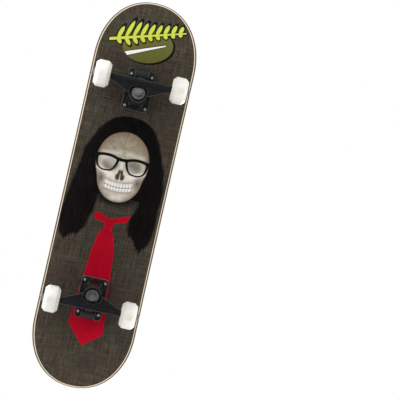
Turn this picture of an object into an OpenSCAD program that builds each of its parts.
// Street skateboard: a laminated deck with two kicks, grip tape, and two sprung trucks with four wheels.
// Frame: +X to the front end, +Y to the rider's left, +Z up, origin on the floor under the deck's middle.
// Each truck has its own frame at its axle's middle: +u outboard to the nearer end, w up.

/* [Deck] */
// Overall length, end to end
deck_length = 787.4; // [720:0.1:860]
// Overall width
deck_width = 203.2; // [185:0.1:250]
// Thickness of one maple ply
ply = 1.5; // [1.2:0.05:2]
// Number of plies in the core, between the outer two
core_plies = 5; // [3:1:7]
// Length of each rounded end
end_length = 127; // [95:1:160]
// How square the ends are: 2 is an ellipse, more is squarer
end_power = 2.15; // [2:0.05:2.8]
// Half width of the flat strip along the middle
flat_half = 30; // [28:0.5:38]
// How far the rails stand above the middle
concave = 9.5; // [0:0.5:14]
// Distance from the deck's middle that keeps the full concave
concave_full = 130; // [60:1:150]

/* [Kicks] */
// Angle of the front kick
front_kick = 21; // [10:0.5:26]
// Angle of the rear kick
rear_kick = 20.5; // [10:0.5:26]
// Radius of the bend into each kick
kick_radius = 200; // [120:5:260]
// From the outer mounting bolts to the start of the bend
kick_gap = 19; // [14:1:40]

/* [Grip tape] */
// Thickness of the grip tape
grip_thick = 1; // [0.6:0.1:1.6]
// How far the grip tape stops short of the deck's edge
grip_inset = 1.6; // [0.5:0.1:4]

/* [Truck mounting] */
// Distance from the deck's middle forward to the point midway between the trucks
truck_shift = 3; // [-8:0.5:8]
// Distance between the inner mounting bolts of the two trucks
inner_holes = 352; // [320:0.5:370]
// Hole spacing along the board
hole_long = 63.5; // [53.9:0.1:66]
// Hole spacing across the board
hole_wide = 41.3; // [38:0.1:44]
// Diameter of a mounting bolt
bolt_d = 4.76; // [4:0.01:5.5]
// Length of a mounting bolt
bolt_length = 28.6; // [28:0.1:34]
// Diameter of a mounting bolt's countersunk head
bolt_head_d = 9.2; // [8.5:0.1:10]
// Height of the countersunk head
bolt_head_h = 2.6; // [2:0.1:3]
// Width across the flats of a lock nut
lock_nut_af = 9.5; // [8.5:0.1:10.5]
// Height of a lock nut
lock_nut_h = 5.6; // [4.5:0.1:5.8]
// Clearance around a bolt in its holes, on the radius
bolt_gap = 0.25; // [0.1:0.05:0.5]
// Thickness of the riser pad
riser_thick = 3.2; // [1.6:0.1:5]

/* [Baseplate] */
// Thickness of the baseplate's flange
flange_thick = 5; // [4:0.1:6]
// From the outer bolts to the flange's outboard edge
flange_front = 12.4; // [10:0.1:17]
// From the inner bolts to the flange's inboard edge
flange_back = 7; // [6:0.1:12]
// Width of the flange
flange_width = 54; // [52:0.5:58]
// Corner radius of the flange
flange_corner = 6; // [3:0.5:8]
// From the axle's middle outboard to the outer bolts
bolts_ahead = 15.1; // [8:0.1:18]
// From the axle up to the flange's underside
flange_height = 48.8; // [47:0.1:54]
// Inner faces of the two ribs, from the middle
rib_inner = 10.5; // [9.5:0.1:11]
// Thickness of each rib
rib_thick = 4; // [3:0.1:5]

/* [Hanger] */
// Width of the hanger
hanger_width = 127; // [115:0.5:150]
// Diameter of the hanger's bar
hanger_bar_d = 12.5; // [11:0.1:14]
// Outer diameter of the bushing ring
ring_d = 36; // [33:0.5:40]
// Thickness of the bushing ring
ring_thick = 10; // [9:0.1:11]
// Middle of the bushing ring, inboard of the axle
ring_back = 24; // [22:0.1:26]
// Middle of the bushing ring, above the axle
ring_up = 11.5; // [10:0.1:13]
// End of the pivot, outboard of the axle
pivot_ahead = 6; // [5:0.1:7]
// End of the pivot, above the axle
pivot_up = 42; // [41:0.1:43]
// Diameter of the pivot
pivot_d = 11; // [9:0.1:12]
// Depth of the pivot in its cup
pivot_depth = 7.7; // [6:0.1:8]
// Wall of the pivot cup
cup_wall = 1.9; // [1.5:0.1:2.5]
// Running clearance of the pivot in its cup, on the radius
pivot_gap = 0.1; // [0.05:0.01:0.3]

/* [Kingpin and bushings] */
// Lean of the kingpin from vertical
kingpin_lean = 15; // [8:0.5:20]
// Diameter of the kingpin
kingpin_d = 9.52; // [8:0.01:10]
// Width across the flats of the kingpin's head and nut
kingpin_af = 14.3; // [13:0.1:15]
// Diameter of the boardside bushing
board_bushing_d = 25; // [23:0.1:26]
// Height of the boardside bushing
board_bushing_h = 13; // [11:0.1:15]
// Large diameter of the roadside bushing
road_bushing_d = 22.6; // [20:0.1:24]
// Small diameter of the roadside bushing
road_bushing_tip_d = 19; // [16:0.1:20]
// Height of the roadside bushing
road_bushing_h = 6.5; // [6:0.1:9]
// Depth of the ring's two bushing seats
bushing_seat = 3.2; // [2:0.1:3.5]
// Thickness of a cup washer
cup_washer_thick = 1.5; // [1:0.1:2]
// Diameter of a cup washer
cup_washer_d = 25.6; // [24:0.1:27]
// Height of the kingpin nut
kingpin_nut_h = 8.5; // [7:0.1:10]
// Bore clearance of bushings, washers and baseplate on the kingpin, on the radius
kingpin_gap = 0.25; // [0.1:0.05:0.5]

/* [Axle] */
// Diameter of the axle
axle_d = 7.94; // [7:0.01:7.96]
// Axle thread beyond each nut
axle_stub = 1.5; // [0.5:0.1:3]
// Thickness of a speed washer
washer_thick = 0.8; // [0.5:0.1:1.2]
// Width across the flats of an axle nut
axle_nut_af = 12.7; // [12:0.1:14]
// Height of an axle nut
axle_nut_h = 8; // [6:0.1:9]
// Length of the spacer between the bearings
spacer_length = 10; // [8:0.1:11]

/* [Wheels] */
// Diameter of a wheel
wheel_d = 53; // [48:0.5:56]
// Width of a wheel
wheel_width = 31; // [30:0.5:36]
// Width of the flat tread
tread_width = 19; // [14:0.5:22]
// Depth of the dish in each side face
side_dish = 1.4; // [0.5:0.1:1.8]

/* [Bearings] */
// Outer diameter
bearing_d = 22; // [22:0.1:24]
// Bore
bearing_bore = 8; // [7.98:0.01:8.2]
// Width
bearing_width = 7; // [6:0.1:8]
// Diameter of a ball
ball_d = 3.97; // [3.5:0.01:4.1]
// Balls in each bearing
ball_count = 7; // [6:1:7]
// Clearance between balls and races, on the radius
ball_gap = 0.05; // [0.02:0.01:0.1]
// Thickness of a bearing shield
shield_thick = 0.4; // [0.3:0.05:0.5]

/* [Hidden] */
$fn = 48;
ends = ["front", "rear"];
sides = ["left", "right"];

// heights above the floor
axle_z = wheel_d / 2;
deck_z = axle_z + flange_height + flange_thick + riser_thick;
deck_thick = (core_plies + 2) * ply;
grip_top_z = deck_z + deck_thick + grip_thick;

// places along the board
outer_holes = inner_holes / 2 + hole_long;
axle_x = outer_holes - bolts_ahead;
bend_x = outer_holes + kick_gap;
deck_half = deck_width / 2;

// truck frame
ring_centre = [-ring_back, ring_up];
pivot_point = [pivot_ahead, pivot_up];
pivot_run = pivot_point - ring_centre;
pivot_lean = atan2(pivot_run[0], pivot_run[1]);
flange_top = flange_height + flange_thick;
flange_outer = bolts_ahead + flange_front;
flange_inner = bolts_ahead - hole_long - flange_back;
ring_web = ring_thick - 2 * bushing_seat;
board_seat = ring_web / 2 + board_bushing_h;
boss_seat = board_seat + cup_washer_thick;
road_seat = ring_web / 2 + road_bushing_h;
seat_gap = 0.3;
press_gap = 0.01;
kingpin_head_h = 6;
kingpin_head_sink = 2.6;
kingpin_stub = 1.2;
boss_r = cup_washer_d / 2 + 2.2;
boss_flare = 3;
kingpin_head_top = (flange_top - ring_up - kingpin_head_sink) / cos(kingpin_lean);
kingpin_end = road_seat + cup_washer_thick + kingpin_nut_h + kingpin_stub;

// wheel stack, outwards from the hanger's face
hanger_half = hanger_width / 2;
inner_bearing = hanger_half + washer_thick;
outer_bearing = inner_bearing + bearing_width + spacer_length;
outer_washer = outer_bearing + bearing_width;
nut_face = outer_washer + washer_thick;
axle_half = nut_face + axle_nut_h + axle_stub;
wheel_y = inner_bearing + bearing_width + spacer_length / 2;

// bearing radii
pitch_r = (bearing_d + bearing_bore) / 4;
race_step = 0.53;
inner_shoulder = pitch_r - ball_d / 2 + race_step;
outer_shoulder = pitch_r + ball_d / 2 - race_step;
shield_step = 0.4;
shield_sink = 0.1;
cage_half = 0.7;

// colours
maple = "burlywood";
dyed_maple = "sienna";
black_paint = [0.09, 0.09, 0.1];
bright_steel = [0.75, 0.76, 0.78];
dark_steel = [0.3, 0.3, 0.32];
white_urethane = [0.95, 0.95, 0.93];

// ---------------------------------------------------------------- deck surface

// 0 at a, 1 at b, smooth between
function smooth(a, b, x) = let (t = min(1, max(0, (x - a) / (b - a)))) t * t * (3 - 2 * t);

// the kick's angle, the bend's start and the end's place, for the end that x lies towards
function kick_angle(x) = x > 0 ? front_kick : rear_kick;
function bend_start(x) = x > 0 ? truck_shift + bend_x : bend_x - truck_shift;

// slope of the underside at x, as an angle towards the end
function slope(x) =
    let (past = abs(x) - bend_start(x))
    past <= 0 ? 0 : min(kick_angle(x), asin(min(1, past / kick_radius)));

// rise of the underside at x above its lowest line
function rise(x) =
    let (past = abs(x) - bend_start(x), arc_run = kick_radius * sin(kick_angle(x)))
    past <= 0 ? 0
    : past < arc_run ? kick_radius * (1 - cos(slope(x)))
    : kick_radius * (1 - cos(kick_angle(x))) + (past - arc_run) * tan(kick_angle(x));

// half of the deck's width at x
function half_width(x) =
    let (into = (abs(x) - (deck_length / 2 - end_length)) / end_length)
    into <= 0 ? deck_half : deck_half * pow(max(0, 1 - pow(into, end_power)), 1 / end_power);

// how far the surface stands above its middle line at x, y
function rail_lift(x, y) =
    let (out = max(0, abs(y) - flat_half) / (deck_half - flat_half))
    concave * out * out * (1 - smooth(concave_full, bend_start(x), abs(x)));

// stations along the deck: the two ends by angle, the middle evenly
end_steps = 10;
end_first_angle = 4;
middle_steps = 12;
end_stations = [for (i = [0:end_steps])
    deck_length / 2 - end_length * (1 - pow(
        i == end_steps ? 1 : sin(end_first_angle + (90 - end_first_angle) * i / end_steps),
        2 / end_power))];
station_run = deck_length / 2 - end_length;
stations = concat(
    [for (i = [end_steps:-1:1]) -end_stations[i]],
    [for (i = [0:middle_steps]) station_run * (2 * i / middle_steps - 1)],
    [for (i = [1:end_steps]) end_stations[i]]);
tip_share = 0.998;

// places across the deck, as shares of its half width; the flat strip's edge is one of them
flat_share = flat_half / deck_half;
across = [-1, -0.8, -0.58, -flat_share, 0, flat_share, 0.58, 0.8, 1];

// a point of the surface at height h above the underside
function tip_x(x) = sign(x) * min(abs(x), deck_length / 2 - end_length * (1 - tip_share));
function surface_point(x, share, h) =
    let (y = share * half_width(tip_x(x)), a = slope(x))
    [x - sign(x) * h * sin(a), y, deck_z + rise(x) + h * cos(a) + rail_lift(x, y)];

// a closed sheet between two heights above the underside
module deck_layer(low, high) {
    rows = len(stations);
    cols = len(across);
    points = [for (h = [low, high]) for (x = stations) for (t = across) surface_point(x, t, h)];
    function at(level, i, j) = (level * rows + i) * cols + j;
    function quad(a, b, c, d) = [[a, b, c], [a, c, d]];
    faces = [
        for (i = [0:rows - 2]) for (j = [0:cols - 2])
            each quad(at(0, i, j), at(0, i + 1, j), at(0, i + 1, j + 1), at(0, i, j + 1)),
        for (i = [0:rows - 2]) for (j = [0:cols - 2]) let (
            a = at(1, i, j), b = at(1, i + 1, j), c = at(1, i + 1, j + 1), d = at(1, i, j + 1))
            each [[c, b, a], [d, c, a]],
        for (i = [0:rows - 2]) each quad(at(0, i, 0), at(1, i, 0), at(1, i + 1, 0), at(0, i + 1, 0)),
        for (i = [0:rows - 2]) let (j = cols - 1)
            each quad(at(0, i, j), at(0, i + 1, j), at(1, i + 1, j), at(1, i, j)),
        for (j = [0:cols - 2]) each quad(at(0, 0, j), at(0, 0, j + 1), at(1, 0, j + 1), at(1, 0, j)),
        for (j = [0:cols - 2]) let (i = rows - 1)
            each quad(at(0, i, j), at(1, i, j), at(1, i, j + 1), at(0, i, j + 1))
    ];
    polyhedron(points, faces);
}

// ---------------------------------------------------------------- frames

// a truck's frame
module truck_frame(end) {
    if (end == "front") translate([truck_shift + axle_x, 0, axle_z]) children();
    else translate([truck_shift - axle_x, 0, axle_z]) rotate([0, 0, 180]) children();
}

// a wheel's frame: the axle's line is Z, outwards
module wheel_frame(end, side) {
    y = side == "left" ? wheel_y : -wheel_y;
    x = end == "front" ? truck_shift + axle_x : truck_shift - axle_x;
    translate([x, y, axle_z]) rotate([side == "left" ? -90 : 90, 0, 0]) children();
}

// children at both ends of an axle, with Z outwards from the hanger's middle
module both_axle_ends() for (a = [-90, 90]) rotate([a, 0, 0]) children();

// the kingpin's frame: origin at the ring's middle, Z up the kingpin towards the deck
module kingpin_frame()
    translate([ring_centre[0], 0, ring_centre[1]]) rotate([0, -kingpin_lean, 0]) children();

// the pivot's frame: origin at the pivot's end, Z up along the hanger's turning line
module pivot_frame()
    translate([pivot_point[0], 0, pivot_point[1]]) rotate([0, pivot_lean, 0]) children();

// a truck's four mounting bolts
module at_bolts()
    for (u = [bolts_ahead, bolts_ahead - hole_long]) for (y = [-1, 1])
        translate([u, y * hole_wide / 2, 0]) children();

// both trucks' mounting bolts, in the board's frame with Z from the axle
module at_all_bolts() for (end = ends) truck_frame(end) at_bolts() children();

// an outline in the u, w plane, given a width across the board
module across_board(width) rotate([90, 0, 0]) linear_extrude(width, center = true) children();

// a tube or washer standing on Z = 0
module tube(outer_r, inner_r, height) difference() {
    cylinder(h = height, r = outer_r);
    translate([0, 0, -1]) cylinder(h = height + 2, r = inner_r);
}

// a hexagonal nut with a round collar, standing on Z = 0
module lock_nut(flats, height, bore_r, collar) {
    corner_r = flats / 2 / cos(30);
    hex_h = height * (1 - collar);
    difference() {
        union() {
            intersection() {
                cylinder(h = hex_h, r = corner_r, $fn = 6);
                cylinder(h = hex_h, r1 = corner_r * 1.25, r2 = corner_r * 0.97);
                cylinder(h = hex_h, r1 = corner_r * 0.97, r2 = corner_r * 1.25);
            }
            cylinder(h = height, r = flats / 2 * 0.9);
        }
        translate([0, 0, -1]) cylinder(h = height + 2, r = bore_r);
    }
}

// ---------------------------------------------------------------- deck

bolt_hole_r = bolt_d / 2 + bolt_gap;
bolt_top = grip_top_z - axle_z - 0.1;

// the bolts' holes with their countersinks
module deck_holes() at_all_bolts() {
    translate([0, 0, flange_top]) cylinder(h = bolt_top - flange_top + 5, r = bolt_hole_r);
    translate([0, 0, bolt_top - bolt_head_h])
        cylinder(h = bolt_head_h, r1 = bolt_hole_r, r2 = bolt_head_d / 2 + bolt_gap);
    translate([0, 0, bolt_top]) cylinder(h = 5, r = bolt_head_d / 2 + bolt_gap);
}

module deck_bottom_ply() color(maple) difference() {
    deck_layer(0, ply);
    deck_holes();
}

module deck_core() color(dyed_maple) difference() {
    deck_layer(ply, deck_thick - ply);
    deck_holes();
}

module deck_top_ply() color(maple) difference() {
    deck_layer(deck_thick - ply, deck_thick);
    deck_holes();
}

// the grip tape's outline: the deck's, drawn in all round
module grip_outline() {
    function reach(x) = 1 - 2 * (grip_inset + deck_thick * sin(kick_angle(x))) / deck_length;
    rail = [for (x = stations) [x * reach(x), half_width(tip_x(x)) * (1 - grip_inset / deck_half)]];
    polygon(concat(rail, [for (i = [len(rail) - 1:-1:0]) [rail[i][0], -rail[i][1]]]));
}

module grip_tape() color(black_paint) difference() {
    intersection() {
        deck_layer(deck_thick, deck_thick + grip_thick);
        linear_extrude(deck_length) grip_outline();
    }
    deck_holes();
}

// ---------------------------------------------------------------- truck mounting

// the flange's outline: a rectangle with round corners
module flange_outline() {
    r = flange_corner;
    half = flange_width / 2;
    translate([flange_inner + r, -half]) square([flange_outer - flange_inner - 2 * r, 2 * half]);
    translate([flange_inner, r - half]) square([flange_outer - flange_inner, 2 * half - 2 * r]);
    for (u = [flange_inner + r, flange_outer - r]) for (y = [r - half, half - r])
        translate([u, y]) circle(r);
}

module riser_pad(end) color(dark_steel) truck_frame(end) difference() {
    translate([0, 0, flange_top]) linear_extrude(riser_thick) flange_outline();
    translate([0, 0, flange_top - 1]) {
        at_bolts() cylinder(h = riser_thick + 2, r = bolt_hole_r);
        translate([-flange_height * tan(kingpin_lean) - ring_back / 2, 0, 0])
            cylinder(h = riser_thick + 2, r = kingpin_af * 0.62);
    }
}

module mounting_bolts(end) color(bright_steel) truck_frame(end) at_bolts() difference() {
    union() {
        translate([0, 0, bolt_top - bolt_length])
            cylinder(h = bolt_length - bolt_head_h / 2, r = bolt_d / 2);
        translate([0, 0, bolt_top - bolt_head_h])
            cylinder(h = bolt_head_h, r1 = bolt_d / 2, r2 = bolt_head_d / 2);
    }
    for (turn = [0, 90]) translate([0, 0, bolt_top]) rotate([0, 0, turn])
        cube([bolt_head_d * 0.56, bolt_d * 0.24, bolt_head_h * 1.3], center = true);
}

module lock_nuts(end) color(bright_steel) truck_frame(end) at_bolts()
    translate([0, 0, flange_height]) rotate([180, 0, 0])
        lock_nut(lock_nut_af, lock_nut_h, bolt_d / 2 + press_gap, 0.35);

// ---------------------------------------------------------------- baseplate

cup_r = pivot_d / 2 + pivot_gap + cup_wall;
cup_lip = 3.5;
cup_back = pivot_depth - cup_lip + cup_wall;

// the side view of the pivot's housing, the ribs and the leg to the kingpin's boss
module rib_outline() {
    low = flange_height;
    polygon([
        [flange_outer - 0.5, low + 1], [flange_outer - 2, low - 5.2], [flange_outer - 6.3, low - 8.1],
        [flange_outer - 8.5, low - 11.7], [flange_outer - 11.5, low - 13.3], [13.5, low - 14],
        [8, low - 13], [0.9, low - 9.2], [-19.4, low - 13.2], [-24, low - 14], [-36, low - 14],
        [-46, low - 12], [-50, low + 1]]);
}

// the small window in the leg
module rib_window() {
    low = flange_height;
    polygon([[-19, low - 6.2], [-15.4, low - 0.6], [-22.6, low - 0.6]]);
}

module baseplate(end) color(black_paint) truck_frame(end) difference() {
    union() {
        translate([0, 0, flange_height]) linear_extrude(flange_thick) flange_outline();
        for (side = [-1, 1]) translate([0, side * (rib_inner + rib_thick / 2), 0])
            across_board(rib_thick) rib_outline();
        intersection() {
            kingpin_frame() translate([0, 0, boss_seat])
                cylinder(h = flange_height, r1 = boss_r, r2 = boss_r + boss_flare * 2);
            translate([flange_inner, -flange_width, 0])
                cube([flange_outer - flange_inner, 2 * flange_width, flange_top]);
        }
        intersection() {
            across_board(2 * rib_inner + rib_thick) rib_outline();
            pivot_frame() translate([-flange_width / 2, -flange_width / 2, -cup_lip])
                cube([flange_width, flange_width, flange_height]);
        }
    }
    across_board(flange_width) rib_window();
    translate([0, 0, flange_height - 1]) at_bolts() cylinder(h = flange_thick + 2, r = bolt_hole_r);
    // spot faces, which keep the lock nuts clear of the ribs and the boss
    translate([0, 0, flange_height - 2 * lock_nut_h]) at_bolts()
        cylinder(h = 2 * lock_nut_h, r = lock_nut_af / 2 / cos(30) + seat_gap);
    kingpin_frame() {
        cylinder(h = flange_height, r = kingpin_d / 2 + kingpin_gap);
        translate([0, 0, kingpin_head_top - kingpin_head_h])
            cylinder(h = flange_height, r = kingpin_af / 2 / cos(30) + seat_gap, $fn = 6);
    }
    pivot_frame() translate([0, 0, -flange_height])
        cylinder(h = flange_height + cup_back, r = cup_r + press_gap);
}

module pivot_cup(end) color(dark_steel) truck_frame(end) pivot_frame() difference() {
    translate([0, 0, -cup_lip]) cylinder(h = cup_lip + cup_back, r = cup_r);
    translate([0, 0, -cup_lip - 1])
        cylinder(h = cup_lip + 1 + cup_back - cup_wall - pivot_d / 2, r = pivot_d / 2 + pivot_gap);
    translate([0, 0, cup_back - cup_wall - pivot_d / 2]) sphere(r = pivot_d / 2 + pivot_gap);
}

// ---------------------------------------------------------------- kingpin and bushings

module kingpin(end) color(bright_steel) truck_frame(end) kingpin_frame() {
    translate([0, 0, -kingpin_end])
        cylinder(h = kingpin_end + kingpin_head_top - kingpin_head_h / 2, r = kingpin_d / 2);
    translate([0, 0, kingpin_head_top - kingpin_head_h])
        cylinder(h = kingpin_head_h, r = kingpin_af / 2 / cos(30), $fn = 6);
}

module kingpin_nut(end) color(dark_steel) truck_frame(end) kingpin_frame()
    translate([0, 0, -road_seat - cup_washer_thick]) rotate([180, 0, 0])
        lock_nut(kingpin_af, kingpin_nut_h, kingpin_d / 2 + press_gap, 0.3);

module bushing_boardside(end) color(black_paint) truck_frame(end) kingpin_frame() {
    waist = 0.6;
    translate([0, 0, ring_web / 2]) rotate_extrude() polygon([
        [kingpin_d / 2 + kingpin_gap, 0], [board_bushing_d / 2, 0],
        [board_bushing_d / 2, bushing_seat],
        [board_bushing_d / 2 - waist, board_bushing_h / 2 + bushing_seat / 2],
        [board_bushing_d / 2, board_bushing_h], [kingpin_d / 2 + kingpin_gap, board_bushing_h]]);
}

module bushing_roadside(end) color(black_paint) truck_frame(end) kingpin_frame()
    translate([0, 0, -road_seat]) difference() {
        cylinder(h = road_bushing_h, r1 = road_bushing_tip_d / 2, r2 = road_bushing_d / 2);
        translate([0, 0, -1]) cylinder(h = road_bushing_h + 2, r = kingpin_d / 2 + kingpin_gap);
    }

// a washer with a shallow rim, its flat face on Z = 0 and its rim upwards around the bushing
module cup_washer(rim_inner_r) {
    rim_h = 0.6;
    tube(cup_washer_d / 2, kingpin_d / 2 + kingpin_gap, cup_washer_thick);
    tube(cup_washer_d / 2, rim_inner_r, cup_washer_thick + rim_h);
}

module cup_washer_boardside(end) color(dark_steel) truck_frame(end) kingpin_frame()
    translate([0, 0, boss_seat]) rotate([180, 0, 0])
        tube(cup_washer_d / 2, kingpin_d / 2 + kingpin_gap, cup_washer_thick);

module cup_washer_roadside(end) color(bright_steel) truck_frame(end) kingpin_frame()
    translate([0, 0, -road_seat - cup_washer_thick]) cup_washer(cup_washer_d / 2 - 1.2);

// ---------------------------------------------------------------- hanger and axle

ring_r = ring_d / 2;
bar_r = hanger_bar_d / 2;

// the side view of the arm that carries the pivot
module arm_outline() polygon([
    [9.2, pivot_up - 9.4], [9.6, 20], [9, 4], [bar_r * 0.8, -bar_r * 0.6], [0, -bar_r], [-8, -3],
    [-13, 4], [-14, 22], [-8, 26.2], [-4.6, 29.4], [-2, pivot_up - 9.4]]);

// the plan of the wings between the bar and the ring
module wing_plan() {
    tip = hanger_half - 6;
    polygon([
        [bar_r * 0.7, -14], [bar_r * 0.7, 14], [0, tip], [-bar_r - 1.5, tip - 1],
        [-ring_back - 3, ring_r * 0.86], [-ring_back - 3, -ring_r * 0.86],
        [-bar_r - 1.5, 1 - tip], [0, -tip]]);
}

module hanger(end) color(black_paint) truck_frame(end) difference() {
    arm_half = 7;
    wing_low = -1;
    wing_high = 8.5;
    union() {
        rotate([90, 0, 0]) cylinder(h = hanger_width, r = bar_r, center = true);
        translate([0, 0, wing_low]) linear_extrude(wing_high - wing_low) wing_plan();
        across_board(2 * arm_half) arm_outline();
        kingpin_frame() translate([0, 0, -ring_thick / 2]) cylinder(h = ring_thick, r = ring_r);
        pivot_frame() {
            translate([0, 0, pivot_depth - cup_lip - pivot_d / 2]) sphere(r = pivot_d / 2);
            translate([0, 0, -16]) cylinder(h = 16 + pivot_depth - cup_lip - pivot_d / 2, r = pivot_d / 2);
            translate([0, 0, -18]) cylinder(h = 10, r1 = arm_half, r2 = pivot_d / 2);
        }
    }
    rotate([90, 0, 0]) cylinder(h = hanger_width + 2, r = axle_d / 2 + press_gap, center = true);
    kingpin_frame() {
        translate([0, 0, -ring_thick]) cylinder(h = 2 * ring_thick, r = kingpin_d / 2 + 3.2);
        translate([0, 0, ring_web / 2]) cylinder(h = flange_height, r = board_bushing_d / 2 + seat_gap);
        translate([0, 0, -ring_web / 2 - ring_thick * 2])
            cylinder(h = ring_thick * 2, r = road_bushing_d / 2 + seat_gap);
        translate([0, 0, -ring_thick / 2 - ring_thick]) cylinder(h = ring_thick, r = ring_r);
    }
}

module axle(end) color(bright_steel) truck_frame(end) {
    chamfer = 0.8;
    rotate([90, 0, 0]) cylinder(h = 2 * (axle_half - chamfer), r = axle_d / 2, center = true);
    both_axle_ends() translate([0, 0, axle_half - chamfer])
        cylinder(h = chamfer, r1 = axle_d / 2, r2 = axle_d / 2 - chamfer);
}

module axle_nuts(end) color(dark_steel) truck_frame(end) both_axle_ends()
    translate([0, 0, nut_face]) lock_nut(axle_nut_af, axle_nut_h, axle_d / 2 + press_gap, 0.3);

module speed_washers(end) color(bright_steel) truck_frame(end) both_axle_ends()
    for (z = [hanger_half, outer_washer]) translate([0, 0, z])
        tube(inner_shoulder - 0.2, bearing_bore / 2, washer_thick);

module bearing_spacers(end) color(bright_steel) truck_frame(end) both_axle_ends()
    translate([0, 0, inner_bearing + bearing_width])
        tube(inner_shoulder - 0.6, bearing_bore / 2, spacer_length);

// ---------------------------------------------------------------- bearings and wheels

// the groove that the balls run in
module ball_track() translate([0, 0, bearing_width / 2])
    rotate_extrude() translate([pitch_r, 0]) circle(r = ball_d / 2 + ball_gap);

module bearing_inner_rings(end) color(bright_steel) truck_frame(end) both_axle_ends()
    for (z = [inner_bearing, outer_bearing]) translate([0, 0, z]) difference() {
        tube(inner_shoulder, bearing_bore / 2, bearing_width);
        ball_track();
    }

// children at a wheel's two bearings, with Z = 0 on the bearing's inboard face
module at_bearings() for (z = [inner_bearing, outer_bearing]) translate([0, 0, z - wheel_y]) children();

shield_outer = outer_shoulder + shield_step;
shield_inner = inner_shoulder + 0.12;

module bearing_outer_rings(end, side) color(bright_steel) wheel_frame(end, side) at_bearings() difference() {
    tube(bearing_d / 2, outer_shoulder, bearing_width);
    ball_track();
    for (z = [-1, bearing_width - shield_sink - shield_thick])
        translate([0, 0, z]) cylinder(h = 1 + shield_sink + shield_thick, r = shield_outer + press_gap);
}

module bearing_shields(end, side) color(black_paint) wheel_frame(end, side) at_bearings()
    for (z = [shield_sink, bearing_width - shield_sink - shield_thick])
        translate([0, 0, z]) tube(shield_outer, shield_inner, shield_thick);

module bearing_cages(end, side) color("peru") wheel_frame(end, side) at_bearings() difference() {
    half = ball_d / 2 + 0.45;
    translate([0, 0, bearing_width / 2 - half]) tube(pitch_r + cage_half, pitch_r - cage_half, 2 * half);
    at_balls() rotate([0, 90, 0]) cylinder(h = 4 * cage_half, r = ball_d / 2 + ball_gap, center = true);
}

module bearing_balls(end, side) color(bright_steel) wheel_frame(end, side) at_bearings()
    at_balls() sphere(r = ball_d / 2);

// children at each ball of a bearing
module at_balls() for (i = [0:ball_count - 1])
    rotate([0, 0, 360 * i / ball_count]) translate([pitch_r, 0, bearing_width / 2]) children();

// half of a wheel's outline, from the bearing seat to the tread's middle
lip_r = (wheel_width - tread_width) / 2;
hub_r = bearing_d / 2 - 1.4;
seat_half = spacer_length / 2;
lip_steps = 6;
wheel_side = [
    [hub_r, 0], [hub_r, seat_half], [bearing_d / 2 + press_gap, seat_half],
    [bearing_d / 2 + press_gap, wheel_width / 2 - side_dish - 0.6],
    [bearing_d / 2 + 0.6, wheel_width / 2 - side_dish],
    [bearing_d / 2 + 3, wheel_width / 2 - side_dish],
    for (i = [0:lip_steps]) let (a = 90 - 90 * i / lip_steps)
        [wheel_d / 2 - lip_r + lip_r * cos(a), tread_width / 2 + lip_r * sin(a)],
    [wheel_d / 2, 0]
];

module wheel(end, side) color(white_urethane) wheel_frame(end, side) rotate_extrude()
    polygon(concat(wheel_side, [for (i = [len(wheel_side) - 2:-1:1]) [wheel_side[i][0], -wheel_side[i][1]]]));

// ---------------------------------------------------------------- nodes

deck_bottom_ply();
deck_core();
deck_top_ply();
grip_tape();
for (end = ends) {
    riser_pad(end);
    baseplate(end);
    pivot_cup(end);
    kingpin(end);
    kingpin_nut(end);
    bushing_boardside(end);
    bushing_roadside(end);
    cup_washer_boardside(end);
    cup_washer_roadside(end);
    hanger(end);
    axle(end);
    axle_nuts(end);
    speed_washers(end);
    bearing_inner_rings(end);
    bearing_spacers(end);
    mounting_bolts(end);
    lock_nuts(end);
}
for (end = ends) for (side = sides) {
    wheel(end, side);
    bearing_outer_rings(end, side);
    bearing_shields(end, side);
    bearing_cages(end, side);
    bearing_balls(end, side);
}
